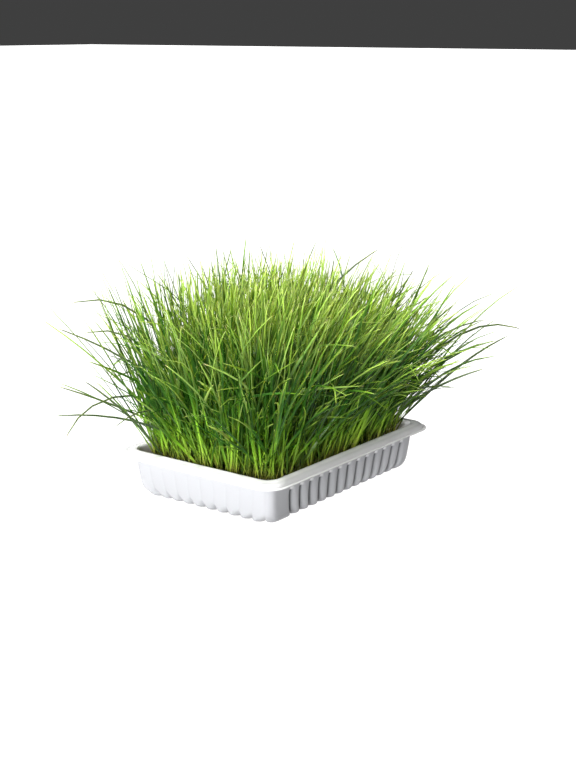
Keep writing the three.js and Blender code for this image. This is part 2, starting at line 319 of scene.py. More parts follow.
# %% [markdown]
# The flutes are counted along the foot of the walls. Each is a broad, slightly rounded rib between
# two narrow grooves. The last grooves of the short walls run onto the corners, and the long walls
# keep a plain panel beside each corner, as the flutes are spaced from one end. Above the foot the
# grooves of the long walls go on to just under the lip, and those of the short walls fade.

# %% Flutes round the foot
RIB_PITCH = 13.5
RIBS = (12, 10, 12, 10)
RIB_SHIFT = (5.0, 0.0, 5.0, 0.0)
RIB_BULGE = 0.92  # half a rib's width over the radius of its round front
FULL_CUT = (1.0, 1.0, 1.0, 1.0)
UPPER_CUT = (1.0, 0.12, 1.0, 0.12)  # share of the grooves' depth that is left above the foot
CUT_CHANGE = (1.0, 7.5)  # heights between which the one turns into the other
COLUMNS_A_RIB = 10
CROWDING = 0.1  # how far columns are drawn to the grooves, as a share of a rib
NEAREST, FURTHEST = 0.12, 1.9  # distances between columns
FOOT_INSET, FOOT_CORNER = 15.0, 8.4

# Each wall's half length, its distance from the middle, and its directions along and outwards.
WALL_HALF = np.array([TRAY_LENGTH, TRAY_WIDTH, TRAY_LENGTH, TRAY_WIDTH]) / 2
WALL_REACH = np.array([TRAY_WIDTH, TRAY_LENGTH, TRAY_WIDTH, TRAY_LENGTH]) / 2
WALL_ALONG = np.array([(1, 0), (0, 1), (-1, 0), (0, -1)])
WALL_OUT = np.array([(0, -1), (1, 0), (0, 1), (-1, 0)])

corner_run = FOOT_CORNER * math.pi / 2
straight = 2 * (WALL_HALF - FOOT_INSET - FOOT_CORNER)
wall_start = np.cumsum([0] + [run + corner_run for run in straight])
foot_length = wall_start[-1]


def rib_phase(wall, along):
    """How many ribs a place on the foot is past the wall's first groove."""
    middle = wall_start[wall] + straight[wall] / 2
    off = (along - middle + foot_length / 2) % foot_length - foot_length / 2
    return (off - RIB_SHIFT[wall]) / RIB_PITCH + RIBS[wall] / 2


def groove_at(along, cut):
    """How deep the groove is at places on the foot, from 0 on a rib's crest to each wall's cut."""
    depth = np.zeros_like(along)
    for wall in range(4):
        phase = rib_phase(wall, along)
        inside = (phase > -0.5) & (phase < RIBS[wall] + 0.5)
        off_crest = np.abs(2 * (phase % 1) - 1)
        sunk = 1 - np.sqrt(1 - (RIB_BULGE * off_crest) ** 2)
        deepest = 1 - math.sqrt(1 - RIB_BULGE**2)
        depth = np.maximum(depth, np.where(inside, cut[wall] * sunk / deepest, 0))
    return depth


def foot_columns():
    """Places along the foot: close together in the grooves, and never far apart on plain walls."""
    marks = []
    for wall in range(4):
        steps = np.arange(-COLUMNS_A_RIB // 2, RIBS[wall] * COLUMNS_A_RIB + COLUMNS_A_RIB // 2 + 1)
        phase = steps / COLUMNS_A_RIB
        phase = phase - CROWDING * np.sin(2 * math.pi * phase)
        middle = wall_start[wall] + straight[wall] / 2 + RIB_SHIFT[wall]
        marks.append(middle + (phase - RIBS[wall] / 2) * RIB_PITCH)
    marks = np.unique((np.concatenate(marks) % foot_length).round(3))
    marks = marks[np.append(True, np.diff(marks) > NEAREST)]
    gaps = np.diff(np.append(marks, marks[0] + foot_length))
    parts = np.ceil(gaps / FURTHEST).astype(int)
    return np.concatenate([m + g * np.arange(n) / n for m, g, n in zip(marks, gaps, parts)])


columns = foot_columns()
print("foot:", round(foot_length, 1), "mm,", len(columns), "columns")

# %% [markdown]
# The sheet starts as a grid with a row for each height of the section and a column for each place
# along the foot. Its two ends meet, so it closes into a band, and one face closes its floor. The
# Solidify modifier gives it its thickness. Each vertex keeps how deep its groove is, whether it is
# on the skirt under the lip, and whether it is inside, so that the plastic can follow them.

# %% Draw the sheet over the mould
SKIRT = (1.5, 2.5, 5.5, 7.5)  # insets at which the skirt starts, is full, is still full and ends


def mould(rows, along):
    """Points of shape rows x columns x 3, in millimetres."""
    wall = np.searchsorted(wall_start, along % foot_length, side="right") - 1
    past = along % foot_length - wall_start[wall]
    run = straight[wall]
    share = np.minimum(past / run, 1) * 2 - 1
    angle = np.maximum(past - run, 0) / FOOT_CORNER
    height, inset, corner, depth = (rows[:, None, k] for k in range(4))
    upper = np.interp(height, CUT_CHANGE, (0, 1))
    cut = groove_at(along, FULL_CUT) * (1 - upper) + groove_at(along, UPPER_CUT) * upper
    radius = corner - depth * cut
    half, reach = WALL_HALF[wall], WALL_REACH[wall]
    by = share * (half - inset - corner) + radius * np.sin(angle)
    out = reach - inset - corner + radius * np.cos(angle)
    flat = by[..., None] * WALL_ALONG[wall] + out[..., None] * WALL_OUT[wall]
    return np.dstack([flat, np.broadcast_to(height, by.shape)])


def draw_sheet(name, rows, along):
    """A closed band of quads over the mould. It is left in edit mode."""
    piece = start_piece(
        name,
        bpy.ops.mesh.primitive_grid_add,
        x_subdivisions=len(along),
        y_subdivisions=len(rows) - 1,
        size=2,
    )
    spot = places(piece.data)
    column = ((spot[:, 0] + 1) / 2 * len(along)).round().astype(int)
    row = ((spot[:, 1] + 1) / 2 * (len(rows) - 1)).round().astype(int)
    drawn = mould(rows, along)[row, column % len(along)] * MM
    piece.data.vertices.foreach_set("co", drawn.ravel())
    note(piece.data, "groove", groove_at(along, UPPER_CUT)[column % len(along)])
    note(piece.data, "skirt", np.interp(rows[row, 1], SKIRT, (0, 1, 1, 0)))
    edit(piece)
    bpy.ops.mesh.select_all(action="SELECT")
    bpy.ops.mesh.remove_doubles(threshold=1e-6)
    return piece


tray = draw_sheet("tray_formed", section, columns)
pick(tray, "EDGE", lambda e: e.is_boundary and e.verts[0].co.z < 0.01)
bpy.ops.mesh.edge_face_add()
bpy.ops.mesh.select_all(action="SELECT")
bpy.ops.mesh.normals_make_consistent(inside=False)
stop_editing()
if min(face.normal.z for face in tray.data.polygons if len(face.vertices) > 4) < 0:
    tray.data.flip_normals()
drawn_points = len(tray.data.vertices)
add_modifier(tray, "SOLIDIFY", thickness=SHEET * MM, offset=1)
inner_side = np.arange(len(tray.data.vertices)) < drawn_points
note(tray.data, "inner_side", inner_side.astype(float))
smooth(tray, 38)
report(tray)

# %% [markdown]
# ## The tray's plastic
#
# The sheet is white polystyrene with a soft gloss, and so thin that what lies behind it shows. The
# walls are grey up to the rim's bend, partly for the soil behind them and partly as painted shade,
# while the rim's top keeps a lit white. Deep in the grooves the grey is painted shade, the grooves'
# tops get a painted highlight, and the skirt under the lip and the foot get painted shade. The
# gloss
# is not even: cooling on the mould leaves a faint orange peel, and handling leaves duller patches.
# Inside, the soil has left a brown bloom above its edge.

# %% White plastic
# The first white is lit, and the second is the same white in painted shade, with the soil behind
# the sheet showing too. The next colours are painted shade deep in the grooves, a painted highlight
# at their tops, and painted shade on the skirt and along the foot. The bloom is a stain.
WHITE, SHADED_WHITE = (0.57, 0.57, 0.56), (0.37, 0.375, 0.392)
PAINTED_GROOVE_SHADE, PAINTED_GROOVE_HIGHLIGHT = (0.05, 0.053, 0.06), (0.95, 0.95, 0.96)
PAINTED_SKIRT_SHADE = (0.36, 0.36, 0.36)
PAINTED_FOOT_SHADE, BLOOM = (0.20, 0.20, 0.21), (0.30, 0.24, 0.16)
GREY_WALL, WHITE_RIM = 37 * MM, 39.8 * MM

plastic = Finish("white_plastic")
where = plastic.place()
height = plastic.axis(where, "Z")
inner, groove, skirt = (plastic.noted(name) for name in ("inner_side", "groove", "skirt"))
patches = plastic.noise(where, 28.0, 3.0)
peel = plastic.noise(where, 420.0, 2.0)
splash = plastic.noise(where, 150.0, 4.0)

# Painted shade: the outer walls below 37 mm take the grey white, which blends to the lit white at
# the rim's top. The inner side stays lit white.
toward_rim = plastic.spread(height + patches * (1 * MM), GREY_WALL, WHITE_RIM)
shaded_walls = plastic.mix(toward_rim.math("MAXIMUM", inner), SHADED_WHITE, WHITE)
# Painted shade: deep in the grooves, below 24 to 26 mm, the walls are darkened nearly to black.
groove_shade_share = plastic.spread(height, 26.0 * MM, 24.0 * MM) * plastic.spread(groove, 0.42, 0.72)
grooved = plastic.mix(groove_shade_share * 0.85, shaded_walls, PAINTED_GROOVE_SHADE)
# Painted highlight: the grooves' tops, 25 to 28 mm up, are painted almost pure white.
over_low = plastic.spread(height, 24.5 * MM, 25.5 * MM)
under_high = plastic.spread(height, 28.5 * MM, 27.5 * MM)
groove_top_highlight = over_low * under_high * plastic.spread(groove, 0.2, 0.7)
highlighted = plastic.mix(groove_top_highlight, grooved, PAINTED_GROOVE_HIGHLIGHT)
# Painted shade: the skirt under the lip is greyed.
skirt_shaded = plastic.mix(skirt * 0.8, highlighted, PAINTED_SKIRT_SHADE)
# Painted shade: the lowest 1 to 3 mm of the foot are greyed, for the shade under its rounded edge.
near_foot = plastic.spread(height + splash * (2 * MM), 3.2 * MM, 1.2 * MM)
foot_shaded = plastic.mix(near_foot * 0.6, skirt_shaded, PAINTED_FOOT_SHADE)
near_soil = plastic.spread(height + splash * (12 * MM), 41 * MM, 33 * MM)
plastic.show(
    {
        "Base Color": plastic.mix(inner * near_soil * 0.35, foot_shaded, BLOOM),
        "Roughness": plastic.spread(patches, 0.3, 0.7, 0.19, 0.25),
        "Normal": plastic.bump(0.08, 0.4 * MM, peel),
        "IOR": 1.55,
    }
)
tray.data.materials.append(plastic.material)
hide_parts("tray")
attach(tray, "root")

# %% [markdown]
# ## Soil
#
# Potting soil is a loose crumb of peat and bark. A flat top would look like paint between the
# blades. A cube gets rounded corners and a narrower foot, the Remesh modifier turns it into small
# even quads, and a Displace modifier with a cloud texture heaps its top into crumbs.

# %% Soil block
SOIL_TOP, SOIL_FOOT = 29.0, 1.3
SOIL_INSET, SOIL_FOOT_INSET = 16.8, 23.4
SOIL_CORNER, SOIL_QUADS = 9, 1.5
HEAPS = (("clods", 9, 3.4), ("crumbs", 3.2, 2.2))  # name, size and height

soil_size = (TRAY_LENGTH - 2 * SOIL_INSET, TRAY_WIDTH - 2 * SOIL_INSET, SOIL_TOP - SOIL_FOOT)
foot_share = [
    (full / 2 - SOIL_FOOT_INSET) / (full / 2 - SOIL_INSET) for full in (TRAY_LENGTH, TRAY_WIDTH)
]
soil = start_piece(
    "soil_bed",
    bpy.ops.mesh.primitive_cube_add,
    size=MM,
    location=(0, 0, (SOIL_TOP + SOIL_FOOT) / 2 * MM),
    scale=soil_size,
)
settle(soil)
edit(soil)
pick(soil, "EDGE", lambda e: abs(e.verts[0].co.z - e.verts[1].co.z) > 0.01)
bpy.ops.mesh.bevel(offset=SOIL_CORNER * MM, segments=6, affect="EDGES")
pick(soil, "FACE", lambda f: f.normal.z < -0.9)
bpy.ops.transform.resize(value=(*foot_share, 1), center_override=(0, 0, SOIL_FOOT * MM))
stop_editing()
add_modifier(soil, "REMESH", mode="VOXEL", voxel_size=SOIL_QUADS * MM)
heap = soil.vertex_groups.new(name="heap")
heap.add([v.index for v in soil.data.vertices if v.co.z > (SOIL_TOP - 1) * MM], 1, "REPLACE")
for name, size, strength in HEAPS:
    clouds = bpy.data.textures.new(name, "CLOUDS")
    clouds.noise_scale = size * MM
    clouds.noise_depth = 1
    add_modifier(
        soil,
        "DISPLACE",
        texture=clouds,
        strength=strength * MM,
        mid_level=0.45,
        direction="Z",
        vertex_group="heap",
    )
smooth(soil, 60)
report(soil)

# %% [markdown]
# ## One of many
#
# Crumbs, grains and blades are each modelled once and copied. Thousands of separate objects would
# be slow, so a helper tiles the pattern's mesh: it takes where each copy's vertices lie and writes
# them all as one mesh, with the pattern's faces, edges and sharp marks repeated.


# %% Tile a pattern
MAP_NAME = "OFBake"  # name of the blades' map, which the leaf finish reads; the closing export keeps a map of this name as it is
chance = np.random.default_rng(40)


def numbers(collection, name, width=1, kind=np.int32):
    found = np.empty(len(collection) * width, kind)
    collection.foreach_get(name, found)
    return found


def tile(name, pattern, points, across=None):
    """A new piece of copies of a pattern. points is copies x vertices x 3, in metres, and across
    is a pair of map coordinates for each of them."""
    copies, size = points.shape[:2]

    def repeat(values, step):
        """The pattern's numbers for every copy, each copy's raised by a step over the last's."""
        return (values + step * np.arange(copies)[:, None]).ravel()

    starts = numbers(pattern.polygons, "loop_start")
    loops = repeat(numbers(pattern.loops, "vertex_index"), size)
    sharp = np.zeros(len(pattern.edges), bool)
    if "sharp_edge" in pattern.attributes:
        sharp = numbers(pattern.attributes["sharp_edge"].data, "value", 1, bool)

    mesh = bpy.data.meshes.new(name)
    mesh.vertices.add(copies * size)
    mesh.edges.add(copies * len(sharp))
    mesh.loops.add(len(loops))
    mesh.polygons.add(copies * len(starts))
    mesh.vertices.foreach_set("co", points.astype(np.float32).ravel())
    mesh.edges.foreach_set("vertices", repeat(numbers(pattern.edges, "vertices", 2), size))
    mesh.loops.foreach_set("vertex_index", loops)
    mesh.loops.foreach_set("edge_index", repeat(numbers(pattern.loops, "edge_index"), len(sharp)))
    mesh.polygons.foreach_set("loop_start", repeat(starts, len(pattern.loops)))
    sharp_edge = mesh.attributes.new("sharp_edge", "BOOLEAN", "EDGE")
    sharp_edge.data.foreach_set("value", np.tile(sharp, copies))
    if across is not None:
        layer = mesh.uv_layers.new(name=MAP_NAME)
        layer.data.foreach_set("uv", across.reshape(-1, 2)[loops].astype(np.float32).ravel())
    mesh.validate()
    mesh.update()
    piece = bpy.data.objects.new(name, mesh)
    bpy.context.scene.collection.objects.link(piece)
    return piece


def turned(count, tumble):
    """Random turns: any heading, and a tumble of up to so many degrees, as count x 3 x 3."""
    heading = chance.uniform(0, 2 * math.pi, count)
    tip = np.radians(chance.uniform(-tumble, tumble, count))
    c, s, ct, st = np.cos(heading), np.sin(heading), np.cos(tip), np.sin(tip)
    zero, one = np.zeros(count), np.ones(count)
    spin = np.array([[c, -s, zero], [s, c, zero], [zero, zero, one]])
    lean = np.array([[ct, zero, st], [zero, one, zero], [-st, zero, ct]])
    return np.einsum("ijn,jkn->nik", spin, lean)


def scatter(pattern, spots, sizes, turns):
    """Copies of a pattern at spots, sized and turned, as copies x vertices x 3."""
    shape = places(pattern)[None] * sizes[:, None, :]
    return np.einsum("nij,nvj->nvi", turns, shape) + spots[:, None, :]


def soil_spots(count, half_x, half_y):
    """Random spots on the soil's top, as count x 3, in metres."""
    flat = chance.uniform((-half_x, -half_y), (half_x, half_y), (count, 2)) * MM
    found = places(soil.data)
    top = found[found[:, 2] > (SOIL_TOP - 3) * MM]
    near = [np.argmin(((top[:, :2] - spot) ** 2).sum(1)) for spot in flat]
    return np.column_stack([flat, top[near, 2]])


# %% Crumbs on the soil
CRUMBS = 520

lump = start_piece("lump", bpy.ops.mesh.primitive_ico_sphere_add, subdivisions=2, radius=1)
edit(lump)
bpy.ops.mesh.select_all(action="SELECT")
bpy.ops.transform.vertex_random(offset=0.35, seed=3)
stop_editing()
smooth(lump, 50)
spots = soil_spots(CRUMBS, 102, 69)
sizes = chance.uniform(0.6, 1.9, (CRUMBS, 1)) * chance.uniform(0.6, 1.2, (CRUMBS, 3)) * MM
copies = scatter(lump.data, spots, sizes, turned(CRUMBS, 90))
crumbs = tile("soil_crumbs", lump.data, copies)
bpy.data.objects.remove(lump)
report(crumbs)

# %% [markdown]
# Wheat grains are plump ovals about 6 mm long with a crease along the belly. They lie on the soil
# where they were sown, half sunk, and stay there as empty husks under the lawn. One is a sphere,
# drawn long and pressed in along the belly, which lies up.

# %% Grains
GRAINS = 460

grain = start_piece(
    "grain", bpy.ops.mesh.primitive_uv_sphere_add, segments=10, ring_count=6, radius=1
)
edit(grain)
bpy.ops.mesh.select_all(action="SELECT")
bpy.ops.transform.rotate(value=math.pi / 2, orient_axis="Y", center_override=(0, 0, 0))
bpy.ops.transform.resize(value=(3.1, 1.45, 1.3), center_override=(0, 0, 0))
pick(grain, "VERT", lambda v: v.co.z > 1.1 and abs(v.co.x) < 2.9)
bpy.ops.transform.translate(value=(0, 0, -0.4))
stop_editing()
smooth(grain, 50)
spots = soil_spots(GRAINS, 101, 68)
sizes = chance.uniform(0.8, 1.1, (GRAINS, 1)) * np.ones(3) * MM
copies = scatter(grain.data, spots, sizes, turned(GRAINS, 40))
grains = tile("wheat_grains", grain.data, copies)
bpy.data.objects.remove(grain)
report(grains)

# %% [markdown]
# ## Soil and husk colours
#
# Damp peat is nearly black in its hollows and a warm brown on the crumbs' dry tops, so the colour
# follows two noises, and the finer one also gives the bump. The husks are straw in darker and
# lighter patches.

# %% Soil and husk finishes
HOLLOWS, DRY_TOPS = (0.018, 0.011, 0.007), (0.105, 0.062, 0.034)
HUSK_DARK, STRAW = (0.22, 0.12, 0.05), (0.50, 0.36, 0.17)

earth = Finish("damp_soil")
where = earth.place()
coarse = earth.noise(where, 160.0, 4.0)
fine = earth.noise(where, 900.0, 3.0)
earth.show(
    {
        "Base Color": earth.mix(earth.spread(coarse + fine * 0.5, 0.55, 1.0), HOLLOWS, DRY_TOPS),
        "Roughness": earth.spread(fine, 0.3, 0.7, 0.65, 0.95),
        "Normal": earth.bump(0.7, 0.8 * MM, fine),
    }
)

husk = Finish("straw_husk")
tone = husk.noise(husk.place(), 260.0, 3.0)
husk.show(
    {
        "Base Color": husk.mix(husk.spread(tone, 0.3, 0.7), HUSK_DARK, STRAW),
        "Roughness": husk.spread(tone, 0.3, 0.7, 0.5, 0.75),
    }
)

for piece, finish in ((soil, earth), (crumbs, earth), (grains, husk)):
    piece.data.materials.append(finish.material)
    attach(piece, "root")
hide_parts("soil")

# %% [markdown]
# ## One blade
#
# A blade of wheatgrass is a thin strip, folded a little along its midrib. It leaves the grain as a
# narrow, nearly round sheath, widens to about 2 mm within a few centimetres, keeps most of that
# width, and ends in a short point. The pattern is upright and one unit tall: a square ring, turned
# so that two of its corners are the blade's edges and two its midrib, is extruded upwards and
# resized at each level.

# %% Pattern of a blade
# Height on the blade, width as a share of the widest, and half the thickness in millimetres.
BLADE_LEVELS = [
    (0.00, 0.36, 0.42),
    (0.06, 0.38, 0.40),
    (0.13, 0.46, 0.36),
    (0.21, 0.72, 0.30),
    (0.31, 1.00, 0.27),
    (0.42, 1.00, 0.24),
    (0.53, 0.97, 0.22),
    (0.64, 0.89, 0.20),
    (0.75, 0.80, 0.18),
    (0.86, 0.66, 0.15),
    (0.95, 0.40, 0.11),
    (1.00, 0.02, 0.02),
]

blade = start_piece(
    "blade", bpy.ops.mesh.primitive_circle_add, vertices=4, radius=1, fill_type="NGON"
)
edit(blade)
bpy.ops.mesh.select_all(action="SELECT")
bpy.ops.transform.resize(value=(*BLADE_LEVELS[0][1:], 1), center_override=(0, 0, 0))
for (low, wide, thick), (high, next_wide, next_thick) in zip(BLADE_LEVELS, BLADE_LEVELS[1:]):
    bpy.ops.mesh.extrude_region_move(TRANSFORM_OT_translate={"value": (0, 0, high - low)})
    bpy.ops.transform.resize(
        value=(next_wide / wide, next_thick / thick, 1), center_override=(0, 0, high)
    )
bpy.ops.mesh.merge(type="CENTER")
bpy.ops.mesh.select_all(action="SELECT")
bpy.ops.mesh.normals_make_consistent(inside=False)
stop_editing()
smooth(blade, 60)
pattern = places(blade.data)
print("blade:", len(blade.data.polygons), "faces,", len(pattern), "vertices")

# %% [markdown]
# ## Bending the blades
#
# A strip bends easily across its flat side and hardly at all across its edge, so a blade arches in
# the way that it leans, and its flat side faces up or down there. Each blade is one curve: its tilt
# grows from the root to the tip, and its heading may wander. The pattern's levels are laid along
# that curve, with a frame carried along it, so that the strip doesn't twist by itself. A kink
# turns the curve within a short run.

# %% Curves and frames
STEPS = 50
KINK_RUN = 0.06  # share of the length over which a kink turns
FOLD = (0.15, 0.45)  # rise of a blade's edges over its midrib, at the root and in the blade
SWELL = 0.25  # share of the height over which the sheath opens into the blade


def curve(blades):
    """Points and directions along each blade, as blades x steps x 3, in millimetres."""
    s = (np.arange(STEPS) + 0.5) / STEPS
    kinked = ((s - blades["kink_at"][:, None]) / KINK_RUN + 0.5).clip(0, 1)
    bend = (blades["droop"] - blades["lean"])[:, None]
    tilt = blades["lean"][:, None] + bend * s ** blades["curl"][:, None]
    tilt = tilt + blades["kink"][:, None] * kinked
    heading = blades["heading"][:, None] + blades["sway"][:, None] * s**1.5
    heading = heading + blades["kink_turn"][:, None] * kinked
    t, h = np.radians(tilt), np.radians(heading)
    direction = np.stack([np.sin(t) * np.cos(h), np.sin(t) * np.sin(h), np.cos(t)], axis=2)
    steps = direction * (blades["length"] / STEPS)[:, None, None]
    start = blades["root"][:, None, :]
    return np.concatenate([start, start + np.cumsum(steps, axis=1)], axis=1), direction


def lay(blades):
    """The pattern's vertices laid along each blade's curve, as blades x vertices x 3, in metres."""
    line, direction = curve(blades)
    h = np.radians(blades["heading"])
    flat = np.stack([-np.sin(h), np.cos(h), np.zeros_like(h)], axis=1)
    frames = []
    for step in range(STEPS):
        along = direction[:, step]
        flat = flat - along * (flat * along).sum(1, keepdims=True)
        flat = flat / np.linalg.norm(flat, axis=1, keepdims=True)
        frames.append(flat)
    frames = np.stack(frames, axis=1)
    level = pattern[:, 2]
    step = np.minimum((level * STEPS).astype(int), STEPS - 1)
    along, flat = direction[:, step], frames[:, step]
    up = np.cross(along, flat)
    turn = np.radians(blades["roll"][:, None] + blades["twist"][:, None] * level)[..., None]
    wide = flat * np.cos(turn) + up * np.sin(turn)
    face = np.cross(along, wide)
    spot = line[:, np.round(level * STEPS).astype(int)]
    half = (pattern[:, 0] / 2) * blades["width"][:, None]
    fold = np.interp(level, (0, SWELL), FOLD)
    thick = pattern[:, 1] * blades["thick"][:, None] + np.abs(half) * fold
    return (spot + wide * half[..., None] + face * thick[..., None]) * MM


# %% [markdown]
# ## Sowing the lawn
#
# Seedlings stand a few millimetres apart on a jittered grid, and each sends up two leaves. Blades
# in the middle of a lawn hold each other upright, and those at its edges fall outwards, so the tilt
# grows from the middle to the edges. The whole lawn also leans a little to one side. Neighbours
# lean alike in loose clumps, half of the blades and more at the edges are shorter and looser, one
# in five has a kink, and a few strays reach far out of the mass. A blade that reaches too far or
# hangs over the rim is left out.

# %% Seedlings
HALF_X, HALF_Y = 100, 67
SOWN_CORNER = 20
SEEDLING_PITCH = 3.0
ROOT_HEIGHT = 26.3
LEAN = (10.0, -3.0)  # degrees by which all blades lean, along x and y
FAN, FAN_POWER = (27.0, 18.0), 1.9  # degrees more at the edges, and how late that sets in
FAN_HELD = 0.5  # share of the fan that is missing at the near corner
CLUMP, CLUMP_SIZE = 3.0, 60  # degrees by which clumps differ, and the widest clump
UNEVEN = 23.0  # degrees by which single blades differ
LENGTH, WIDTH = 151, 2.0
SHORT_SHARE, SHORT_AT_EDGES, EDGE_DEPTH = 0.5, 0.3, 40
KINKED_SHARE = 0.2


def waves(x, y, count, longest):
    """A smooth random field over the lawn, about -1 to 1."""
    field = np.zeros_like(x)
    for _ in range(count):
        way = chance.uniform(0, 2 * math.pi)
        wave = chance.uniform(0.35, 1) * longest
        along = x * math.cos(way) + y * math.sin(way)
        field += np.sin(along * 2 * math.pi / wave + chance.uniform(0, 6.3))
    return field / math.sqrt(count / 2)


def sow():
    """Roots of the leaves, two to a seedling."""
    nx, ny = round(2 * HALF_X / SEEDLING_PITCH), round(2 * HALF_Y / SEEDLING_PITCH)
    x, y = np.meshgrid(np.linspace(-HALF_X, HALF_X, nx), np.linspace(-HALF_Y, HALF_Y, ny))
    root = np.column_stack([x.ravel(), y.ravel()]) + chance.uniform(-1.6, 1.6, (nx * ny, 2))
    root = np.clip(root, (-HALF_X, -HALF_Y), (HALF_X, HALF_Y))
    past = np.maximum(np.abs(root) - (HALF_X - SOWN_CORNER, HALF_Y - SOWN_CORNER), 0)
    root = np.repeat(root[np.hypot(*past.T) < SOWN_CORNER], 2, axis=0)
    return root + chance.uniform(-0.5, 0.5, root.shape)


def inward(flat):
    """How far roots are from the two near edges of the lawn, in millimetres."""
    return (flat + (HALF_X, HALF_Y)).min(axis=1)


def lawn():
    """The blades of the mass: for each, the numbers that curve() and lay() ask for."""
    flat = sow()
    count = len(flat)
    x, y = flat.T
    uneven = chance.normal(0, 0.55, (6, count))
    arch = chance.uniform(0, 1, count)
    edge = 1 - (inward(flat) / EDGE_DEPTH).clip(0, 1)
    short = chance.uniform(0, 1, count) < SHORT_SHARE + SHORT_AT_EDGES * edge
    loose = UNEVEN * np.where(short, 2.0, 1)
    near_corner = (-x / HALF_X).clip(0, 1) * (-y / HALF_Y).clip(0, 1)
    held = 1 - FAN_HELD * near_corner
    fan_x = FAN[0] * np.sign(x) * np.abs(x / HALF_X) ** FAN_POWER * held
    fan_y = FAN[1] * np.sign(y) * np.abs(y / HALF_Y) ** FAN_POWER * held
    rightward = (0.43 * x / HALF_X - 0.57 * y / HALF_Y).clip(-1, 1)
    tilt_x = LEAN[0] + fan_x + CLUMP * waves(x, y, 7, CLUMP_SIZE) + loose * uneven[0]
    tilt_y = LEAN[1] + fan_y + CLUMP * waves(x, y, 7, CLUMP_SIZE) + loose * uneven[1]
    tilt = np.hypot(tilt_x, tilt_y)
    share = np.where(short, chance.uniform(0.35, 0.95, count), 1)
    kinked = chance.uniform(0, 1, count) < KINKED_SHARE
    return {
        "root": np.column_stack([flat, np.full(count, ROOT_HEIGHT)]),
        "heading": np.degrees(np.arctan2(tilt_y, tilt_x)),
        "lean": 0.75 * tilt,
        "droop": (1.25 + 0.4 * rightward) * tilt + 5 * arch + 45 * arch**14,
        "curl": chance.uniform(1.1, 2.6, count) + 4 * chance.uniform(0, 1, count) ** 6,
        "sway": 40 * uneven[2],
        "kink": kinked * chance.uniform(10, 75, count),
        "kink_at": chance.uniform(0.45, 0.9, count),
        "kink_turn": kinked * chance.uniform(-70, 70, count),
        "roll": 85 * uneven[3],
        "twist": 90 * uneven[4],
        "length": (LENGTH + 30 * uneven[5] - 10 * rightward) * share,
        "width": WIDTH * chance.uniform(0.55, 1.25, count),
        "thick": chance.uniform(0.75, 1.0, count),
    }


# Root x and y, heading, lean at the root, droop at the tip, curl and length. The strays stand out
# at both sides, and the fallen ones lie bent along the front of the near long side.
STRAY_WIDTH, FALLEN_WIDTH = 2.4, 1.7
STRAYS = [
    (-56, 62, 135, -5, 112, 1.8, 200),
    (-49, 24, 139, 16, 68, 0.6, 189),
    (-50, 35, 139, 48, 70, 0.6, 149),
    (-64, 28, 152, 32, 88, 0.6, 149),
    (-67, 45, 139, -5, 160, 1.0, 157),
    (-92, 46, 143, 31, 53, 1.1, 107),
    (-97, 57, 68, 2, 170, 1.7, 160),
    (-70, 38, 179, -5, 115, 0.8, 128),
    (-78, 54, 136, -5, 111, 1.9, 164),
    (100, -46, -42, 25, 117, 2.0, 179),
    (96, -51, -48, 43, 65, 1.9, 145),
    (81, -41, -51, 20, 82, 1.6, 158),
    (90, -47, -65, 26, 71, 0.6, 119),
    (59, 33, -51, -5, 61, 1.1, 200),
]
FALLEN = [
    (18, -58, 2, 40, 84, 0.5, 100),
    (28, -60, 6, 45, 78, 0.5, 95),
    (36, -52, -4, 30, 80, 0.7, 110),
    (5, -62, 4, 50, 86, 0.5, 90),
    (50, -60, 10, 35, 75, 0.6, 90),
    (-8, -60, 12, 35, 72, 0.7, 105),
    (40, -63, -3, 25, 70, 0.8, 95),
]


def single(table, width):
    """Blades of a table, with the same numbers as those of the mass."""
    table = np.array(table, float)
    count = len(table)
    flat = {
        "root": np.column_stack([table[:, :2], np.full(count, ROOT_HEIGHT)]),
        "sway": np.zeros(count),
        "kink": np.zeros(count),
        "kink_at": np.ones(count),
        "kink_turn": np.zeros(count),
        "roll": np.full(count, 55.0),
        "twist": np.full(count, 20.0),
        "width": np.full(count, width),
        "thick": np.full(count, 0.8),
    }
    for column, name in enumerate(("heading", "lean", "droop", "curl", "length"), start=2):
        flat[name] = table[:, column]
    return flat


def gather(*groups):
    """Groups of blades as one."""
    return {name: np.concatenate([group[name] for group in groups]) for name in groups[0]}


ROOM = 5.0  # how far blades may reach past the frame's tufts
RIM_X, RIM_Y = 109, 76
OVER_RIM, OVER_FAR_RIM = 58, 48  # how high a blade must be to pass the rim
CLIMB = (0.42, 0.54)  # how much higher it must be for each millimetre past the rim
LOW_TIP = 56


def within(blades):
    """Leaves out blades that reach further than the frame's tufts, hang over the rim or sag."""
    line = curve(blades)[0]
    tufts = [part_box(name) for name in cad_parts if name.startswith("grass_tuft")]
    low = np.min([box[0] for box in tufts], axis=0) / MM - ROOM
    high = np.max([box[1] for box in tufts], axis=0) / MM + ROOM
    past = np.maximum(np.abs(line[..., :2]) - (RIM_X, RIM_Y), 0) @ CLIMB
    over = np.where(line[..., 0] > RIM_X, OVER_FAR_RIM, OVER_RIM)
    hangs = (past > 0) & (line[..., 2] < past + over)
    tip = np.abs(line[:, -1])
    outside = (tip[:, :2] > (HALF_X - SOWN_CORNER, HALF_Y - SOWN_CORNER)).any(axis=1)
    sags = (tip[:, 2] < LOW_TIP) & outside
    fits = ((line > low) & (line < high)).all(axis=(1, 2)) & ~hangs.any(axis=1) & ~sags
    print("lawn:", fits.sum(), "blades stay and", (~fits).sum(), "reach too far")
    return {name: values[fits] for name, values in blades.items()}


blades = gather(single(STRAYS, STRAY_WIDTH), single(FALLEN, FALLEN_WIDTH), within(lawn()))

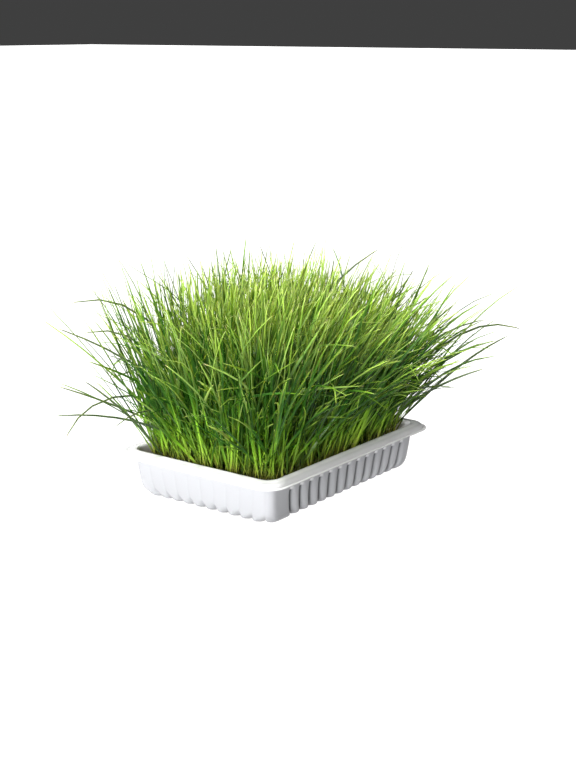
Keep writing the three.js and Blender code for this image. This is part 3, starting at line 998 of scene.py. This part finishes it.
# %% [markdown]
# The pieces follow the frame's tufts: the lawn is cut into the same 6 by 4 patches, and each blade
# belongs to the patch that it is rooted in. Every blade also gets a strip of the lawn's map, one of
# 64 columns. Across a column runs the blade's width and up it runs its length, so that the paint
# can follow both, and blades of the same column share one look. Deep green looks are more common
# near the lawn's two front edges and yellow ones inside it, which is partly painted shade on the
# lawn's front and painted light on its top. The strays have four dull ones.

# %% Blades by patch
TUFTS_X, TUFTS_Y = 6, 4
TUFT_HALF_X, TUFT_HALF_Y = 103, 70
LOOKS, DULL_LOOKS = 64, 4
YELLOWEST_DEPTH = 45  # how far inside the near edges the looks are at their yellowest

points = lay(blades)
# Painted light and shade: blades rooted further inside the near edges get yellower looks, for the
# light on the lawn's top, and those at the front deeper green ones, for its shade.
depth = (inward(blades["root"][:, :2]) / YELLOWEST_DEPTH).clip(0, 1)
yellowness = 0.35 * depth + 0.65 * chance.uniform(0, 1, len(points))
look = (yellowness * (LOOKS - DULL_LOOKS - 0.01)).astype(int)
look[: len(STRAYS)] = LOOKS - 1 - np.arange(len(STRAYS)) % DULL_LOOKS
side = (np.sign(pattern[:, 0].round(4)) + 1) / 2
map_across = (look[:, None] + 0.04 + 0.92 * side) / LOOKS
share = pattern[:, 2]
as_full = np.minimum(blades["length"] / LENGTH, 1)[:, None]
map_along = 0.01 + 0.98 * share * (as_full * (1 - share) + share)
blade_map = np.dstack([map_across, map_along])
tuft_x = ((blades["root"][:, 0] / TUFT_HALF_X + 1) / 2 * TUFTS_X).astype(int).clip(0, TUFTS_X - 1)
tuft_y = ((blades["root"][:, 1] / TUFT_HALF_Y + 1) / 2 * TUFTS_Y).astype(int).clip(0, TUFTS_Y - 1)
tuft = tuft_y * TUFTS_X + tuft_x

grass_pieces = []
for number in range(TUFTS_X * TUFTS_Y):
    mine = tuft == number
    name = f"grass_{number + 1:02d}"
    piece = tile(name, blade.data, points[mine], blade_map[mine])
    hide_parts(f"grass_tuft_{number + 1:02d}")
    grass_pieces.append(piece)
bpy.data.objects.remove(blade)
report(grass_pieces[0])
print("grass:", sum(triangles(piece.data) for piece in grass_pieces), "triangles")

# %% [markdown]
# ## Leaf green
#
# A blade isn't one green. Its sheath is straw and pale yellow, where no light reached it, its
# middle is a deep green, darkened further as painted shade for the inside of the lawn, and its tip
# is a bright yellow-green, brightened further as painted light for the lawn's top. Fine veins run
# along it. Light passes through as well, which the Subsurface sockets stand for. Each column of the
# map differs: its number sets how yellow it is, and a noise sets whether it is dark, plain or pale,
# the pale ones with a painted sheen.

# %% Leaf finish
# Painted shade and light: the stops from 0.47 to 0.80 are darkened far below a leaf's green for the
# shade inside the lawn, and the last stops are brightened for the light on its top.
UP_THE_BLADE = [
    (0.0, (0.06, 0.03, 0.015)),
    (0.05, (0.13, 0.09, 0.03)),
    (0.09, (0.24, 0.24, 0.04)),
    (0.17, (0.225, 0.365, 0.032)),
    (0.31, (0.155, 0.33, 0.018)),
    (0.47, (0.022, 0.085, 0.003)),
    (0.66, (0.008, 0.042, 0.001)),
    (0.80, (0.040, 0.125, 0.004)),
    (0.91, (0.18, 0.34, 0.015)),
    (1.0, (0.42, 0.56, 0.14)),
]
YELLOW, BLUISH, DARK = (0.44, 0.60, 0.09), (0.03, 0.12, 0.015), (0.006, 0.030, 0.005)
PALE_SHEEN, DULL = (0.27, 0.40, 0.10), (0.03, 0.044, 0.026)
VEIN, DRY_TIP = (0.03, 0.10, 0.01), (0.46, 0.38, 0.16)
VEIN_TURNS = 44.0  # radians across a blade, which makes seven veins

leaf = Finish("fresh_leaf")
spot = leaf.node("ShaderNodeUVMap", {"uv_map": MAP_NAME})
u = leaf.axis(spot, "X") * LOOKS
along = leaf.axis(spot, "Y")
column = u.math("FLOOR")
tone = column * (1 / (LOOKS - DULL_LOOKS))
other_tone = leaf.node("ShaderNodeTexWhiteNoise", {"noise_dimensions": "1D"}, {"W": column + 90.5})

plain = leaf.node("ShaderNodeValToRGB", {"stops": UP_THE_BLADE}, {"Fac": along})
# The yellow share follows the column's number, so it carries the painted light of the blade's place
# on the lawn.
yellow_share = leaf.spread(tone, 0.35, 1.0, 0.0, 0.8) * leaf.spread(along, 0.5, 0.95, 0.05, 1.0)
yellowed = leaf.mix(yellow_share, plain, YELLOW)
deep = leaf.spread(tone, 0.35, 0.0, 0.0, 0.35) * leaf.spread(along, 0.3, 0.5)
deepened = leaf.mix(deep, yellowed, BLUISH)
darkened = leaf.mix(leaf.spread(other_tone, 0.65, 0.0, 0.0, 0.9), deepened, DARK)
# Painted highlight: a noise gives some columns a pale sheen on the upper part of the blade.
pale = leaf.spread(other_tone, 0.74, 0.9, 0.0, 0.5) * leaf.spread(along, 0.45, 0.75)
sheened = leaf.mix(pale, darkened, PALE_SHEEN)
is_dull = column.math("GREATER_THAN", LOOKS - DULL_LOOKS - 0.5)
dulled = leaf.mix(is_dull * 0.9, sheened, DULL)
vein_wave = ((u - column) * VEIN_TURNS).math("SINE")
veined = leaf.mix(vein_wave * 0.10 + 0.10, dulled, VEIN)
dry = leaf.spread(along + leaf.spread(other_tone, 0.5, 1.0, 0.0, 0.05), 0.985, 1.02)
leaf.show(
    {
        "Base Color": leaf.mix(dry, veined, DRY_TIP),
        "Roughness": leaf.spread(other_tone, 0.0, 1.0, 0.20, 0.36),
        "IOR": 1.42,
        "Specular IOR Level": 0.13,
        "Subsurface Weight": 0.35,
        "Subsurface Radius": (1.0, 1.0, 0.4),
        "Subsurface Scale": 0.7 * MM,
    }
)
for piece in grass_pieces:
    piece.data.materials.append(leaf.material)
    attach(piece, "root")

# %% [markdown]
# ## Studio
#
# The tray stands on a wide white floor in a dim room with a window on one side and a soft light
# overhead. A sun adds sparkle on the blades. The floor looks evenly white, but if it lit the tray
# evenly too, the flutes would have no shade. So a Light Path node parts what is seen of its glow
# from the light that it throws back, which is strong on the window's side and falls off towards
# the tray.

# %% Floor
PAPER_GLOW, PAPER_SEEN = 2.3, 0.45  # strength, and the share of it that is seen
BOUNCE_FAR, BOUNCE_NEAR = 0.7, 0.05  # shares that are thrown back, from x = -0.30 m to -0.10 m
BLACK, PURE_WHITE = (0.0, 0.0, 0.0), (1.0, 1.0, 1.0)
PAPER_DARK, PAPER_LIGHT = (0.10, 0.10, 0.10), (0.12, 0.12, 0.12)

floor = start_piece("studio_floor", bpy.ops.mesh.primitive_plane_add, size=40)
paper = Finish("white_paper")
where = paper.place()
bounce = paper.spread(paper.axis(where, "X"), -0.30, -0.10, BOUNCE_FAR, BOUNCE_NEAR)
seen = paper.node("ShaderNodeLightPath", output="Is Camera Ray")
seen = seen + paper.node("ShaderNodeLightPath", output="Is Glossy Ray")
paper.show(
    {
        "Base Color": paper.mix(paper.noise(where, 3.0, 2.0) * 0.2, PAPER_DARK, PAPER_LIGHT),
        "Roughness": 0.9,
        "Emission Color": paper.mix(bounce + seen * (PAPER_SEEN - bounce), BLACK, PURE_WHITE),
        "Emission Strength": PAPER_GLOW,
    }
)
floor.data.materials.append(paper.material)

# %% Sky and sun
SKY_DIM, WINDOW, OVERHEAD = 0.05, 26.4, 9.0
TOWARD_WINDOW = (-0.96, -0.20, 0.18)
TOWARD_SUN, SUN_STRENGTH, SUN_DEGREES = (-0.36, 0.52, 0.76), 4.9, 7

sky = bpy.data.worlds.new("studio_sky")
bpy.context.scene.world = sky
sky.use_nodes = True


class Sky(Finish):
    """A world that is built node by node."""

    def __init__(self, world):
        self.tree = world.node_tree
        self.tree.nodes.clear()


dome = Sky(sky)
direction = dome.node("ShaderNodeTexCoord", output="Generated")
window_ward = dome.node(
    "ShaderNodeVectorMath",
    {"operation": "DOT_PRODUCT"},
    {0: direction, 1: Vector(TOWARD_WINDOW).normalized()},
    output="Value",
)
window = dome.spread(window_ward, 0.92, 0.99, 0.0, WINDOW)
overhead = dome.spread(dome.axis(direction, "Z"), 0.78, 1.0, 0.0, OVERHEAD)
light = {"Color": (*PURE_WHITE, 1), "Strength": SKY_DIM + window + overhead}
dome.node("ShaderNodeOutputWorld", {}, {"Surface": dome.node("ShaderNodeBackground", {}, light)})

key = bpy.data.objects.new("key", bpy.data.lights.new("key", "SUN"))
key.data.energy, key.data.angle = SUN_STRENGTH, math.radians(SUN_DEGREES)
key.rotation_euler = Vector(TOWARD_SUN).to_track_quat("Z", "Y").to_euler()
bpy.context.scene.collection.objects.link(key)

# %% [markdown]
# ## Camera
#
# The camera looks down on the near corner from about 1.25 m away.

# %% Camera
CAMERA_TURN, CAMERA_RISE, CAMERA_AWAY = -52.6, 18.2, 1250.8
TARGET_ASIDE, TARGET_HEIGHT = 8.9, 86.4
FOCAL_PIXELS, FRAME_PIXELS, SENSOR = 1404, 768, 36.0

turn, rise = math.radians(CAMERA_TURN), math.radians(CAMERA_RISE)
camera = bpy.data.objects.new("camera", bpy.data.cameras.new("camera"))
bpy.context.scene.collection.objects.link(camera)
back = Vector((math.sin(turn) * math.cos(rise), -math.cos(turn) * math.cos(rise), math.sin(rise)))
aside = (TARGET_ASIDE * math.cos(turn), TARGET_ASIDE * math.sin(turn))
target = Vector((*aside, TARGET_HEIGHT)) * MM
camera.location = back * CAMERA_AWAY * MM
camera.rotation_euler = (camera.location - target).to_track_quat("Z", "Y").to_euler()
camera.data.sensor_width = SENSOR
camera.data.lens = FOCAL_PIXELS / FRAME_PIXELS * SENSOR
camera.data.clip_end = 100
bpy.context.scene.camera = camera
bpy.context.scene.view_settings.view_transform = "Standard"
